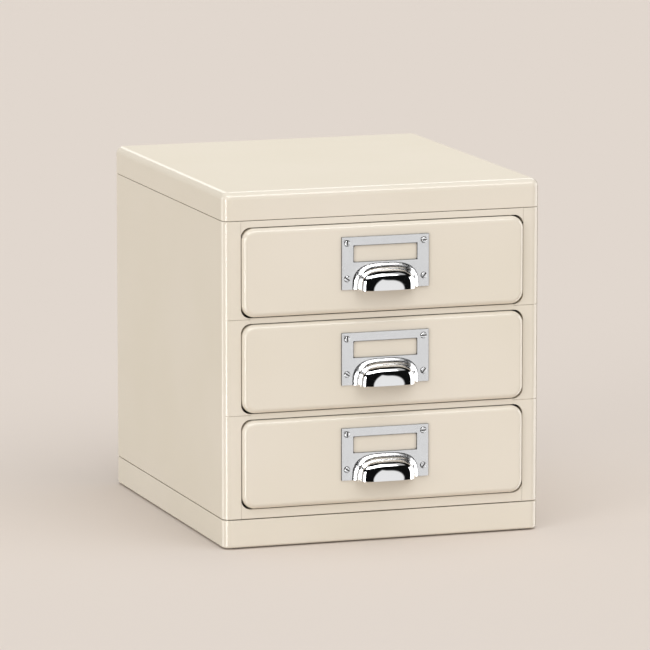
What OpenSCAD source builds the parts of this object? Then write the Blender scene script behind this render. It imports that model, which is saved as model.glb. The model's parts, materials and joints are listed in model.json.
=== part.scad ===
// Three-drawer desktop filing cabinet in painted sheet steel.
// X runs across the front, Y runs from front to back, Z is up.
// The origin lies under the middle of the whole cabinet, pulls and rear screws included.

/* [Case] */
// Overall width of the case
case_w = 300; // [240:1:340]
// Depth of the case from front face to back face
case_d = 338; // [300:1:400]
// Radius of the four upright corners
corner_r = 8; // [7.5:0.5:10]
// Width of a stile from the case's side to the drawer fronts
stile_w = 17; // [15:0.5:24]
// Thickness of the case's steel sheet
sheet = 1; // [0.8:0.1:1.4]
// Width of the flanges that seat the cap and the plinth on the side panels
seat_w = 12; // [9:0.5:13]
// Free gap where two fixed sheets meet edge to edge
joint_gap = 0.25; // [0.15:0.05:0.4]

/* [Plinth and cap] */
// Height of the plinth from its underside to the seam under the case
plinth_h = 26; // [18:1:40]
// Rounding of the plinth's lower edge
plinth_edge_r = 2; // [1.5:0.5:6]
// Width of the return under the plinth
plinth_return = 24; // [23:1:34]
// Height of the cap above its seam
cap_h = 26; // [18:1:40]
// Rounding of the cap's upper edge
cap_edge_r = 7; // [3:0.5:7]
// Width of the return under the cap
cap_return = 14; // [12:1:20]

/* [Feet] */
// Diameter of each rubber foot
foot_d = 14; // [10:0.5:15]
// Height of the feet below the plinth
foot_proud = 1.5; // [0.8:0.1:5]
// Distance of a foot's axis from the outer faces of the plinth
foot_inset = 14; // [12:0.5:15]
// Diameter of the foot's stem
foot_stem_d = 6; // [4:0.5:7]
// Diameter of the barb above the return
foot_barb_d = 8; // [7.5:0.5:9]
// Height of the barb
foot_barb_h = 2; // [1:0.5:4]

/* [Drawer fronts] */
// Height of a drawer front
front_h = 80; // [72:1:100]
// Corner radius of a drawer front
front_corner_r = 11.5; // [8:0.5:16]
// Rounding of a drawer front's outer edge
front_edge_r = 5; // [2:0.5:6]
// How far a closed drawer stands out of the case
front_proud = 5; // [3:0.5:8]
// How far a drawer front reaches into the case
front_inset = 12; // [8:0.5:16]
// Gap all round a drawer front
reveal = 0.8; // [0.5:0.1:1.5]
// Corner radius of the openings in the face of the case
opening_corner_r = 9; // [6:0.5:11]

/* [Rails] */
// Visible height of the rail between two drawers
rail_face = 5; // [4:0.5:12]
// Visible height of the rail above the top drawer
top_rail_face = 5.8; // [4:0.2:14]
// Visible height of the rail under the bottom drawer
bottom_rail_face = 8.4; // [4:0.2:16]
// Depth of the rails' level webs
rail_web_d = 24; // [16:1:30]
// Height of a divider's web above the middle of its face
web_rise = 1.4; // [0:0.1:1.8]
// Play of a divider's tab in its slit
tab_gap = 0.15; // [0.1:0.05:0.3]

/* [Posts and runners] */
// Distance from the case's face to the front posts, and from its back to the rear posts
post_setback = 36; // [34:1:60]
// Width of a post, front to back
post_w = 20; // [14:1:28]
// Thickness of a runner's back
runner_web = 3; // [2.5:0.5:4]
// Thickness of a runner's two legs and end wall
runner_leg = 2; // [1.5:0.5:3]
// Clear height of a runner's channel
channel_h = 7; // [6.5:0.5:9]
// Length of the raised pad at a runner's front end
pad_len = 18; // [10:1:20]
// Height of the raised pad
pad_h = 2.8; // [1.5:0.1:3]
// Gap between a drawer front and the runners behind it
runner_setback = 2; // [1:0.5:4]
// Gap between the runners and the back panel
runner_rear_gap = 4; // [2:0.5:8]

/* [Drawer boxes] */
// Height of a drawer box
tray_h = 62; // [50:1:66]
// Height of the box's underside above the drawer front's lower edge
tray_lift = 3.5; // [2:0.5:5]
// Width of the outward flanges on the box's sides
flange_w = 9; // [7:0.5:12]
// Length of a glide
glide_len = 20; // [12:1:26]
// Upright play of a drawer in its runners
run_gap = 0.2; // [0.15:0.05:0.3]
// Sideways play of a drawer's flanges in its runners
side_gap = 1; // [0.9:0.1:2]
// Play between a closed drawer and the runners' end walls
close_gap = 0.4; // [0.3:0.1:1]

/* [Label pulls] */
// Width of the pull's plate
plate_w = 82.5; // [78:0.5:96]
// Height of the pull's plate
plate_h = 47.5; // [44:0.5:60]
// Thickness of the pull's plate
plate_t = 1.4; // [1.2:0.1:2]
// Corner radius of the plate
plate_corner_r = 1.5; // [0.5:0.5:4]
// Height of the plate's middle above the drawer front's middle
plate_rise = 5.1; // [0:0.1:8]
// Width of the card window
window_w = 60; // [48:0.5:66]
// Height of the card window
window_h = 14.7; // [10:0.1:15]
// Distance of the card window below the plate's upper edge
window_drop = 8; // [6.5:0.1:8.5]
// Corner radius of the card window
window_corner_r = 2; // [0.5:0.5:4]
// Margin of the card pocket around the window
pocket_margin = 2.5; // [1.5:0.5:3]
// Depth of the card pocket behind the window
pocket_t = 0.6; // [0.4:0.1:0.7]
// Width of the finger hood
hood_w = 53; // [40:0.5:56]
// Height of the finger hood
hood_h = 18.6; // [16:0.2:19]
// Reach of the finger hood in front of the plate
hood_reach = 14.5; // [11:0.5:24]
// Corner radius of the hood seen from the front
hood_corner_r = 8.5; // [8.2:0.1:12]
// Rounding of the hood's front edge
hood_edge_r = 8; // [3:0.5:8]
// Radius of the flare from the hood into the plate
hood_flare_r = 5.2; // [2:0.2:6]
// Wall of the hood
hood_wall = 1.2; // [0.8:0.1:2]

/* [Fasteners] */
// Distance of a pull screw from the plate's side edge
pull_screw_side = 5; // [4:0.5:6]
// Distance of the upper pull screws from the plate's upper edge
pull_screw_top = 5.5; // [4:0.1:6]
// Distance of the lower pull screws from the plate's lower edge
pull_screw_low = 9.9; // [4:0.1:14]
// Shank diameter of a pull screw
pull_screw_d = 3; // [2:0.5:3.5]
// Head diameter of a pull screw
pull_head_d = 5; // [4.5:0.1:7]
// Head height of a pull screw
pull_head_h = 1.4; // [0.8:0.1:2]
// Width of the slot in a pull screw's head
pull_slot_w = 1; // [0.5:0.1:1.2]
// Depth of the slot in a pull screw's head
pull_slot_d = 0.9; // [0.5:0.1:1]
// Width across the flats of a pull screw's nut
nut_flats = 5.5; // [5:0.5:7]
// Height of a pull screw's nut
nut_h = 2.4; // [1.5:0.1:3]
// Shank diameter of the case's screws
case_screw_d = 3.5; // [3:0.1:4]
// Head diameter of the case's screws
case_head_d = 7; // [6:0.5:8]
// Head height of the case's screws
case_head_h = 1.6; // [1:0.1:2.4]
// Length of the case screws beyond the sheets that they join
case_screw_tail = 3; // [2:0.5:6]
// Distance of the seat screws from the middle of the case's depth
seat_screw_y = 80; // [40:1:90]
// Screws on each side of the back panel
back_screws_per_side = 4; // [2:1:6]
// Height of a runner screw's sunk head
sunk_head_h = 1.6; // [1:0.1:2]
// Diameter of a runner screw's sunk head
sunk_head_d = 6; // [5:0.5:6.4]
// Shank diameter of a rivet
rivet_d = 3.2; // [2.4:0.2:4]
// Head diameter of a rivet
rivet_head_d = 6; // [5:0.5:8]
// Head height of a rivet
rivet_head_h = 1.2; // [0.8:0.1:2]
// Rivets in each drawer
rivet_count = 4; // [2:1:6]
// Distance of the outer rivets from the sides of the drawer box
rivet_edge = 48; // [10:1:80]
// Play of a shank in its hole, on the radius
hole_gap = 0.1; // [0.05:0.05:0.2]

/* [Hidden] */
$fn = 64;
eps = 1;
cream = [0.91, 0.86, 0.79];
nylon = [0.93, 0.93, 0.9];
chrome = [0.83, 0.83, 0.84];
zinc = [0.72, 0.73, 0.74];
rubber = [0.12, 0.12, 0.12];

levels = ["bottom", "middle", "top"];
sides = [["left", -1], ["right", 1]];
bays = [0:len(levels) - 1];

// Places along Y
total_d = hood_reach + plate_t + front_proud + case_d + case_head_h;
face_y = -total_d / 2 + hood_reach + plate_t + front_proud;
back_y = face_y + case_d;
mid_y = (face_y + back_y) / 2;
front_rear_y = face_y + front_inset;
runner_front_y = front_rear_y + runner_setback;
runner_rear_y = back_y - 2 * sheet - runner_rear_gap;
tray_rear_y = runner_rear_y - runner_leg - close_gap;
post_ys = [face_y + post_setback, back_y - post_setback - post_w];

// Places across X, on the right-hand side
front_w = case_w - 2 * stile_w;
inner_x = case_w / 2 - sheet;
bend_x = case_w / 2 - corner_r;
slit_x = bend_x + corner_r * sin(45);
opening_x = front_w / 2 + reveal;
flange_x = front_w / 2;
tray_x = flange_x - flange_w;
leg_tip_x = tray_x + side_gap;
runner_face_x = flange_x + side_gap;
runner_back_x = runner_face_x + runner_web;
seat_screw_x = inner_x - seat_w / 2;
back_screw_x = (bend_x + opening_x) / 2;
rivet_pitch = 2 * (tray_x - rivet_edge) / (rivet_count - 1);

// Places along Z
body_z = foot_proud + plinth_h;
opening_h = front_h + 2 * reveal;
pitch = opening_h + rail_face;
body_top_z = body_z + bottom_rail_face + opening_h + pitch * (len(levels) - 1) + top_rail_face;
function opening_z(bay) = body_z + bottom_rail_face + pitch * bay;
function front_z(bay) = opening_z(bay) + reveal;
function tray_z(bay) = front_z(bay) + tray_lift;
function flange_z(bay) = tray_z(bay) + tray_h - sheet;
function channel_z(bay) = flange_z(bay) - run_gap - pad_h;
function divider_z(bay) = opening_z(bay) + opening_h + rail_face / 2;
function web_z(bay) = divider_z(bay) + web_rise - sheet / 2;
function plate_z(bay) = front_z(bay) + front_h / 2 + plate_rise - plate_h / 2;

// How far a drawer slides before its glides meet the pads
travel = tray_rear_y - glide_len - runner_front_y - pad_len;
echo(travel = travel);

// Flat outline of a rectangle with round corners, centred
module round_rect(w, d, r) {
    square([w - 2 * r, d], center = true);
    square([w, d - 2 * r], center = true);
    for (x = [-1, 1], y = [-1, 1])
        translate([x * (w / 2 - r), y * (d / 2 - r)]) circle(r);
}

// Section of a slab whose two upper edges are rounded, standing on the X axis
module slab_section(w, h, r) {
    translate([-w / 2, 0]) square([w, h - r]);
    translate([-w / 2 + r, 0]) square([w - 2 * r, h]);
    for (x = [-1, 1]) translate([x * (w / 2 - r), h - r]) circle(r);
}

// Half of that section from its middle line outwards, to be turned into a corner
module slab_half_section(w, h, r) {
    square([w, h - r]);
    square([w - r, h]);
    translate([w - r, h - r]) intersection() {
        circle(r);
        square(r);
    }
}

// Slab with round corners whose upper edge is rounded all the way round
module soft_slab(w, d, h, corner, edge) {
    rotate([90, 0, 90]) linear_extrude(w - 2 * corner, center = true) slab_section(d, h, edge);
    rotate([90, 0, 0]) linear_extrude(d - 2 * corner, center = true) slab_section(w, h, edge);
    for (x = [-1, 1], y = [-1, 1])
        translate([x * (w / 2 - corner), y * (d / 2 - corner), 0])
            rotate_extrude() slab_half_section(corner, h, edge);
}

// Pan of sheet with its rounded edge up, and an opening inside a return at the height open_z
module pan(h, edge, return_w, open_z) {
    difference() {
        soft_slab(case_w, case_d, h, corner_r, edge);
        translate([0, 0, sheet])
            soft_slab(2 * inner_x, case_d - 2 * sheet, h - 2 * sheet, corner_r - sheet, edge - sheet);
        translate([0, 0, open_z - eps]) linear_extrude(sheet + 2 * eps)
            round_rect(case_w - 2 * return_w, case_d - 2 * return_w, corner_r);
    }
}

// Flat work drawn in X and Z, made solid from y towards the back
module standing(y, t) {
    translate([0, y + t, 0]) rotate([90, 0, 0]) linear_extrude(t) children();
}

module box(from, to) {
    translate(from) cube(to - from);
}

// Screw along Z with its head above z = 0
module pan_screw(d, head_d, head_h, len) {
    rotate_extrude() {
        translate([0, -len]) square([d / 2, len + head_h / 2]);
        square([head_d / 2, head_h / 2]);
        intersection() {
            translate([0, head_h - dome_r(head_d, head_h)]) circle(dome_r(head_d, head_h));
            square([head_d / 2, head_h]);
        }
    }
}

// Radius of the dome over the upper half of a screw head
function dome_r(head_d, head_h) = (pow(head_d / 2, 2) + pow(head_h / 2, 2)) / head_h;

// The two sides of the case, the left one mirrored
module on_side(side) {
    mirror([side < 0 ? 1 : 0, 0, 0]) children();
}

module case_outline(inset) {
    translate([0, mid_y])
        round_rect(case_w - 2 * inset, case_d - 2 * inset, corner_r - inset);
}

// The three openings in the face of the case, in X and Z
module openings() {
    for (bay = bays)
        translate([0, opening_z(bay) + opening_h / 2])
            round_rect(2 * opening_x, opening_h, opening_corner_r);
}

// The places of the screws that seat the cap and the plinth, on the right-hand side
module at_seat_screws() {
    for (y = [-1, 1]) translate([seat_screw_x, mid_y + y * seat_screw_y, 0]) children();
}

module at_back_screws() {
    step = (body_top_z - body_z) / back_screws_per_side;
    for (i = [0:back_screws_per_side - 1])
        translate([back_screw_x, back_y, body_z + step * (i + 0.5)]) rotate([-90, 0, 0]) children();
}

module at_feet() {
    for (x = [-1, 1], y = [-1, 1])
        translate([x * (case_w / 2 - foot_inset), mid_y + y * (case_d / 2 - foot_inset), 0]) children();
}

// The places of the screws in one bay's right-hand runner, heads towards the drawer
module at_runner_screws(bay) {
    for (y = post_ys)
        translate([runner_face_x, y + post_w / 2, channel_z(bay) + channel_h / 2])
            rotate([0, -90, 0]) children();
}

// The places of the four screws of one pull, heads towards the front
module at_pull_screws(bay) {
    for (x = [-1, 1], z = [pull_screw_low, plate_h - pull_screw_top])
        translate([x * (plate_w / 2 - pull_screw_side), face_y - front_proud - plate_t, plate_z(bay) + z])
            rotate([90, 0, 0]) children();
}

// The places of one drawer's rivets, heads inside the box
module at_rivets(bay) {
    for (i = [0:rivet_count - 1])
        translate([(i - (rivet_count - 1) / 2) * rivet_pitch, front_rear_y + sheet, tray_z(bay) + tray_h / 2])
            rotate([-90, 0, 0]) children();
}

module base_plinth() {
    color(cream) difference() {
        translate([0, mid_y, body_z]) mirror([0, 0, 1])
            pan(plinth_h, plinth_edge_r, plinth_return, plinth_h - sheet);
        at_feet() cylinder(d = foot_stem_d + 2 * hole_gap, h = foot_proud + sheet + eps);
        for (side = sides) on_side(side[1]) at_seat_screws()
            translate([0, 0, body_z - sheet - eps])
                cylinder(d = case_screw_d + 2 * hole_gap, h = sheet + 2 * eps);
    }
}

module rubber_feet() {
    barb_z = foot_proud + sheet;
    color(rubber) at_feet() rotate_extrude() {
        square([foot_d / 2, foot_proud]);
        square([foot_stem_d / 2, barb_z + foot_barb_h]);
        translate([0, barb_z]) square([foot_barb_d / 2, foot_barb_h]);
    }
}

// Face of the right-hand stile in X and Z, with the rounded corners beside each divider
module stile_face() {
    web_x = opening_x - opening_corner_r;
    low_z = opening_z(0) + opening_corner_r;
    high_z = opening_z(len(levels) - 1) + opening_h - opening_corner_r;
    difference() {
        union() {
            translate([opening_x, body_z]) square([bend_x - opening_x, body_top_z - body_z]);
            translate([web_x, low_z]) square([opening_corner_r, high_z - low_z]);
        }
        openings();
    }
}

module side_panel(side) {
    color(cream) on_side(side) difference() {
        union() {
            // Side, both upright corners and the rear return
            translate([0, 0, body_z]) linear_extrude(body_top_z - body_z) difference() {
                case_outline(0);
                case_outline(sheet);
                translate([-case_w, mid_y - case_d]) square([case_w + opening_x, 2 * case_d]);
                translate([-case_w, mid_y - case_d]) square([case_w + bend_x, case_d]);
            }
            standing(face_y, sheet) stile_face();
            // Folds along the straight edge of each opening
            for (bay = bays)
                box([opening_x, face_y, opening_z(bay) + opening_corner_r],
                    [opening_x + sheet, front_rear_y, opening_z(bay) + opening_h - opening_corner_r]);
            // Flanges that seat the cap and the plinth
            for (z = [body_z, body_top_z - sheet])
                translate([0, 0, z]) linear_extrude(sheet) difference() {
                    case_outline(sheet);
                    translate([-case_w, face_y + sheet + seat_w])
                        square([case_w + inner_x - seat_w, case_d - 2 * (sheet + seat_w)]);
                    translate([-case_w, mid_y - case_d]) square([case_w + opening_x, 2 * case_d]);
                }
        }
        for (bay = [0:len(levels) - 2])
            box([0, face_y - eps, web_z(bay) - tab_gap],
                [slit_x, face_y + corner_r / 2, web_z(bay) + sheet + tab_gap]);
        for (z = [body_z, body_top_z - sheet])
            at_seat_screws() translate([0, 0, z - eps])
                cylinder(d = case_screw_d + 2 * hole_gap, h = sheet + 2 * eps);
        at_back_screws() translate([0, 0, -sheet - eps])
            cylinder(d = case_screw_d + 2 * hole_gap, h = sheet + 2 * eps);
    }
}

module back_panel() {
    edge_x = bend_x - joint_gap;
    low_z = body_z + sheet + joint_gap;
    high_z = body_top_z - sheet - joint_gap;
    color(cream) difference() {
        box([-edge_x, back_y - 2 * sheet, low_z], [edge_x, back_y - sheet, high_z]);
        for (side = sides) on_side(side[1]) at_back_screws() translate([0, 0, -2 * sheet - eps])
            cylinder(d = case_screw_d + 2 * hole_gap, h = 2 * sheet + 2 * eps);
    }
}

module back_screws() {
    color(zinc) for (side = sides) on_side(side[1]) at_back_screws()
        pan_screw(case_screw_d, case_head_d, case_head_h, 2 * sheet + case_screw_tail);
}

module top_cap() {
    color(cream) difference() {
        translate([0, mid_y, body_top_z]) pan(cap_h, cap_edge_r, cap_return, 0);
        for (side = sides) on_side(side[1]) at_seat_screws() translate([0, 0, body_top_z - eps])
            cylinder(d = case_screw_d + 2 * hole_gap, h = sheet + 2 * eps);
    }
}

module cap_screws() {
    color(zinc) for (side = sides) on_side(side[1]) at_seat_screws()
        translate([0, 0, body_top_z - sheet]) mirror([0, 0, 1])
            pan_screw(case_screw_d, case_head_d, case_head_h, 2 * sheet + case_screw_tail);
}

module plinth_screws() {
    color(zinc) for (side = sides) on_side(side[1]) at_seat_screws()
        translate([0, 0, body_z + sheet])
            pan_screw(case_screw_d, case_head_d, case_head_h, 2 * sheet + case_screw_tail);
}

// Rail between the stiles from low_z to high_z, with a level web that starts at web_low_z
module outer_rail(low_z, high_z, web_low_z) {
    half_w = opening_x - joint_gap;
    color(cream) {
        standing(face_y, sheet) difference() {
            translate([-half_w, low_z]) square([2 * half_w, high_z - low_z]);
            openings();
        }
        box([-half_w, face_y, web_low_z], [half_w, face_y + rail_web_d, web_low_z + sheet]);
    }
}

module top_rail() {
    low_z = opening_z(len(levels) - 1) + opening_h - opening_corner_r;
    outer_rail(low_z, body_top_z, body_top_z - sheet);
}

module bottom_rail() {
    outer_rail(body_z, opening_z(0) + opening_corner_r, body_z);
}

// Rail above the given bay: a face between the stiles, and a web whose tabs fill the slits
module divider_rail(bay) {
    half_w = opening_x - opening_corner_r - joint_gap;
    tab_x = slit_x - joint_gap;
    web_x = runner_back_x - joint_gap;
    color(cream) {
        box([-half_w, face_y, divider_z(bay) - rail_face / 2],
            [half_w, face_y + sheet, divider_z(bay) + rail_face / 2]);
        translate([0, 0, web_z(bay)]) linear_extrude(sheet) intersection() {
            case_outline(tab_gap);
            union() {
                translate([-tab_x, face_y]) square([2 * tab_x, front_inset]);
                translate([-web_x, face_y]) square([2 * web_x, rail_web_d]);
            }
        }
    }
}

// Channel that stands between a side panel and the runners
module post(side, y) {
    color(zinc) on_side(side) difference() {
        box([runner_back_x, y, body_z + sheet], [inner_x, y + post_w, body_top_z - sheet]);
        box([runner_back_x + sheet, y + sheet, body_z],
            [inner_x + eps, y + post_w - sheet, body_top_z]);
        for (bay = bays) at_runner_screws(bay) translate([0, 0, -runner_web - sheet - eps])
            cylinder(d = case_screw_d + 2 * hole_gap, h = sheet + 2 * eps);
    }
}

module runner(side, bay) {
    low_z = channel_z(bay);
    high_z = low_z + channel_h;
    color(nylon) on_side(side) difference() {
        union() {
            box([runner_face_x, runner_front_y, low_z - runner_leg],
                [runner_back_x, runner_rear_y, high_z + runner_leg]);
            for (z = [low_z - runner_leg, high_z])
                box([leg_tip_x, runner_front_y, z], [runner_back_x, runner_rear_y, z + runner_leg]);
            box([leg_tip_x, runner_front_y, low_z - runner_leg],
                [runner_back_x, runner_front_y + pad_len, low_z + pad_h]);
            box([leg_tip_x, runner_rear_y - runner_leg, low_z - runner_leg],
                [runner_back_x, runner_rear_y, high_z + runner_leg]);
        }
        at_runner_screws(bay) {
            translate([0, 0, -runner_web - eps])
                cylinder(d = case_screw_d + 2 * hole_gap, h = runner_web + 2 * eps);
            translate([0, 0, -sunk_head_h])
                cylinder(d1 = case_screw_d + 2 * hole_gap, d2 = sunk_head_d + 2 * hole_gap, h = sunk_head_h);
        }
    }
}

module runner_screws() {
    len = runner_web + sheet + case_screw_tail;
    color(zinc) for (side = sides, bay = bays) on_side(side[1]) at_runner_screws(bay) {
        translate([0, 0, -len]) cylinder(d = case_screw_d, h = len);
        translate([0, 0, -sunk_head_h])
            cylinder(d1 = case_screw_d, d2 = sunk_head_d, h = sunk_head_h);
    }
}

// Pressed drawer front, open at the back
module drawer_front(bay) {
    depth = front_proud + front_inset;
    color(cream) difference() {
        translate([0, front_rear_y, front_z(bay) + front_h / 2]) rotate([90, 0, 0]) difference() {
            soft_slab(front_w, front_h, depth, front_corner_r, front_edge_r);
            translate([0, 0, -sheet]) soft_slab(front_w - 2 * sheet, front_h - 2 * sheet, depth,
                front_corner_r - sheet, front_edge_r - sheet);
        }
        at_pull_screws(bay) translate([0, 0, -plate_t - sheet - eps])
            cylinder(d = pull_screw_d + 2 * hole_gap, h = sheet + 2 * eps);
    }
}

module drawer_backing(bay) {
    inset = sheet + hole_gap;
    color(cream) difference() {
        standing(front_rear_y - sheet, sheet) translate([0, front_z(bay) + front_h / 2])
            round_rect(front_w - 2 * inset, front_h - 2 * inset, front_corner_r - inset);
        at_rivets(bay) translate([0, 0, -2 * sheet - eps])
            cylinder(d = rivet_d + 2 * hole_gap, h = 2 * sheet + 2 * eps);
    }
}

module drawer_box(bay) {
    low_z = tray_z(bay);
    high_z = low_z + tray_h;
    color(cream) difference() {
        union() {
            box([-tray_x, front_rear_y, low_z], [tray_x, tray_rear_y, high_z]);
            box([-flange_x, front_rear_y, high_z - sheet], [flange_x, tray_rear_y, high_z]);
        }
        box([-tray_x + sheet, front_rear_y + sheet, low_z + sheet],
            [tray_x - sheet, tray_rear_y - sheet, high_z + eps]);
        at_rivets(bay) translate([0, 0, -sheet - eps])
            cylinder(d = rivet_d + 2 * hole_gap, h = sheet + 2 * eps);
    }
}

// Nylon caps over the rear ends of the two flanges
module drawer_glides(bay) {
    low_z = channel_z(bay) + run_gap;
    high_z = channel_z(bay) + channel_h - run_gap;
    color(nylon) for (side = sides) on_side(side[1]) difference() {
        box([tray_x, tray_rear_y - glide_len, low_z], [runner_face_x - side_gap / 2, tray_rear_y, high_z]);
        box([tray_x - eps, tray_rear_y - glide_len - eps, flange_z(bay)],
            [flange_x, tray_rear_y + eps, flange_z(bay) + sheet]);
    }
}

module drawer_rivets(bay) {
    grip = 2 * sheet;
    color(zinc) at_rivets(bay) {
        pan_screw(rivet_d, rivet_head_d, rivet_head_h, grip + rivet_head_h);
        translate([0, 0, -grip - rivet_head_h]) cylinder(d = rivet_head_d - 2 * hole_gap, h = rivet_head_h);
    }
}

// Concave skirt that blends the hood's wall into the plate
module flare_section() {
    difference() {
        square(hood_flare_r);
        translate([hood_flare_r, hood_flare_r]) circle(hood_flare_r);
    }
}

// Hood and its flare, drawn facing up with its lip on the X axis
module hood_outside() {
    corner_x = hood_w / 2 - hood_corner_r;
    corner_y = hood_h - hood_corner_r;
    soft_slab(hood_w, 2 * hood_h, hood_reach, hood_corner_r, hood_edge_r);
    translate([0, hood_h, 0]) rotate([90, 0, 90])
        linear_extrude(2 * corner_x, center = true) flare_section();
    for (x = [0, 1]) mirror([x, 0, 0]) {
        translate([hood_w / 2, 0, 0]) rotate([90, 0, 0])
            linear_extrude(2 * corner_y, center = true) flare_section();
        translate([corner_x, corner_y, 0]) rotate_extrude()
            translate([hood_corner_r, 0]) flare_section();
    }
}

// Chrome label pull: plate with a card window, and a finger hood that is open below
module label_pull(bay) {
    window_y = plate_h - window_drop - window_h / 2;
    pocket_low = window_y - window_h / 2 - pocket_margin;
    big = plate_w;
    color(chrome) difference() {
        translate([0, face_y - front_proud, plate_z(bay)]) rotate([90, 0, 0]) difference() {
            union() {
                translate([0, plate_h / 2, 0]) linear_extrude(plate_t)
                    round_rect(plate_w, plate_h, plate_corner_r);
                translate([0, 0, plate_t]) intersection() {
                    hood_outside();
                    box([-big, 0, 0], [big, big, big]);
                }
            }
            // Hollow of the hood
            translate([0, 0, -eps]) soft_slab(hood_w - 2 * hood_wall, 2 * (hood_h - hood_wall),
                plate_t + hood_reach - hood_wall + eps, hood_corner_r - hood_wall, hood_edge_r - hood_wall);
            // Card window, and the pocket behind it that opens upwards
            translate([0, window_y, -eps]) linear_extrude(plate_t + 2 * eps)
                round_rect(window_w, window_h, window_corner_r);
            box([-window_w / 2 - pocket_margin, pocket_low, -eps],
                [window_w / 2 + pocket_margin, plate_h + eps, pocket_t]);
        }
        at_pull_screws(bay) translate([0, 0, -plate_t - eps])
            cylinder(d = pull_screw_d + 2 * hole_gap, h = plate_t + 2 * eps);
    }
}

// Slotted screws that run through the plate and the drawer front into the nuts
module label_pull_screws(bay) {
    len = plate_t + sheet + 1.5 * nut_h;
    color(chrome) at_pull_screws(bay) difference() {
        pan_screw(pull_screw_d, pull_head_d, pull_head_h, len);
        box([-pull_head_d, -pull_slot_w / 2, pull_head_h - pull_slot_d],
            [pull_head_d, pull_slot_w / 2, 2 * pull_head_h]);
    }
}

module label_pull_nuts(bay) {
    color(zinc) at_pull_screws(bay) translate([0, 0, -plate_t - sheet - nut_h]) difference() {
        cylinder(d = nut_flats / cos(30), h = nut_h, $fn = 6);
        translate([0, 0, -eps]) cylinder(d = pull_screw_d + 2 * hole_gap, h = nut_h + 2 * eps);
    }
}

base_plinth();
rubber_feet();
back_panel();
top_cap();
top_rail();
bottom_rail();
divider_rail(1);  // upper_divider_rail
divider_rail(0);  // lower_divider_rail
runner_screws();
back_screws();
cap_screws();
plinth_screws();
for (side = sides) {
    side_panel(side[1]);
    post(side[1], post_ys[0]);
    post(side[1], post_ys[1]);
    for (bay = bays)
        runner(side[1], bay);
}
for (bay = bays) {
    drawer_front(bay);
    drawer_backing(bay);
    drawer_box(bay);
    drawer_glides(bay);
    drawer_rivets(bay);
    label_pull(bay);
    label_pull_screws(bay);
    label_pull_nuts(bay);
}
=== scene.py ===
# %% [markdown]
# # A three-drawer desktop cabinet in cream enamel
#
# This lesson dresses a small steel filing cabinet: a rounded cap, a plinth, three pressed drawer fronts
# and chrome label pulls. The engineering model comes in first as a fixed frame in metres, with +X to the
# right of the front, +Y to the back and +Z up, so that every new piece has a known size and place.

# %% Load the frame
import json
import math
from contextlib import contextmanager

import bmesh
import bpy
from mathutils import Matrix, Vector


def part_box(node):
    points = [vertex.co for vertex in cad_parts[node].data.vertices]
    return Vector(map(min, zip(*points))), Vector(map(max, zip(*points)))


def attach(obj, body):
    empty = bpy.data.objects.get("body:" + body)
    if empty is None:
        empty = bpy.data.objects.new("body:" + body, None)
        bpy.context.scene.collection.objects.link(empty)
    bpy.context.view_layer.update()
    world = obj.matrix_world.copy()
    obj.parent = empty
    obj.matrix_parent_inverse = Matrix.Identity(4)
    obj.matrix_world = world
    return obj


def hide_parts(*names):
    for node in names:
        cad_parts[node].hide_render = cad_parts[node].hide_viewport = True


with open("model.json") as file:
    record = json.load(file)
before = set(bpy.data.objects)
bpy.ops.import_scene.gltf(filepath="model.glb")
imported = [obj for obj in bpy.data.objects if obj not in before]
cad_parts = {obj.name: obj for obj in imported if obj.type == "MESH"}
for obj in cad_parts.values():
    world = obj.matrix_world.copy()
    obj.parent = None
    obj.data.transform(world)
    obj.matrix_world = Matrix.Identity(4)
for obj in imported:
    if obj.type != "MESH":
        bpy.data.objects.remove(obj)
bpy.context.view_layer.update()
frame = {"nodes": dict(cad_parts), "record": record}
scene = bpy.context.scene
scene.view_settings.view_transform = "Standard"

# %% [markdown]
# ## The sizes that the pieces share
#
# A sheet metal worker would read these from the drawing. The outer faces are measured on the frame, and
# the small bends and radii, which a box can't tell, are written down once in millimetres.

# %% Measure the case
MM = 0.001
LEVELS = ("bottom", "middle", "top")
SIDES = {"left": -1, "right": 1}
sheet = 1.0 * MM
corner_r = 8.0 * MM

cap_low, cap_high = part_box("top_cap")
plinth_low, plinth_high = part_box("base_plinth")
half_w = cap_high.x
face_y = cap_low.y
back_y = cap_high.y
body_z = plinth_high.z
seam_z = cap_low.z
case_size = [round(v / MM) for v in (2 * half_w, back_y - face_y, seam_z - body_z)]
print("case is", case_size, "mm wide, deep and tall between its seams")

# %% [markdown]
# ## The camera
#
# The cabinet was photographed from a little to its left and slightly above, from far away with a long
# lens, so its edges hardly converge. The camera's place follows from an aiming point, two angles and a
# distance.

# %% Stand the camera up
def direction_of(azimuth, elevation):
    """The direction towards a lamp or camera, from its angles in degrees round from the front and up."""
    round_by, up_by = math.radians(azimuth), math.radians(elevation)
    return Vector((
        math.cos(up_by) * math.sin(round_by),
        -math.cos(up_by) * math.cos(round_by),
        math.sin(up_by),
    ))


aim = Vector((1.9 * MM, 9.7 * MM, 170.0 * MM))
view_turn, view_lift, view_distance = -18.571, 9.393, 5.4065
towards_camera = direction_of(view_turn, view_lift)
bpy.ops.object.camera_add(location=aim + towards_camera * view_distance)
camera = bpy.context.active_object
camera.name = "product_camera"
camera.rotation_euler = towards_camera.to_track_quat("Z", "Y").to_euler()
camera.data.lens = 323.9
camera.data.sensor_width = 36.0
camera.data.clip_end = 100.0
scene.camera = camera
print("camera at", [round(v, 3) for v in camera.location])

# %% [markdown]
# ## Sums between sockets
#
# A finish is a small sum of patterns, and sums read best as sums. Wire holds one output socket of a node
# tree, so that `0.3 + 0.1 * smudge` adds the Math nodes by itself. Every other kind of node comes from
# one method, `node`, which takes the kind, its settings, and the values or wires of its sockets.

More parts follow.
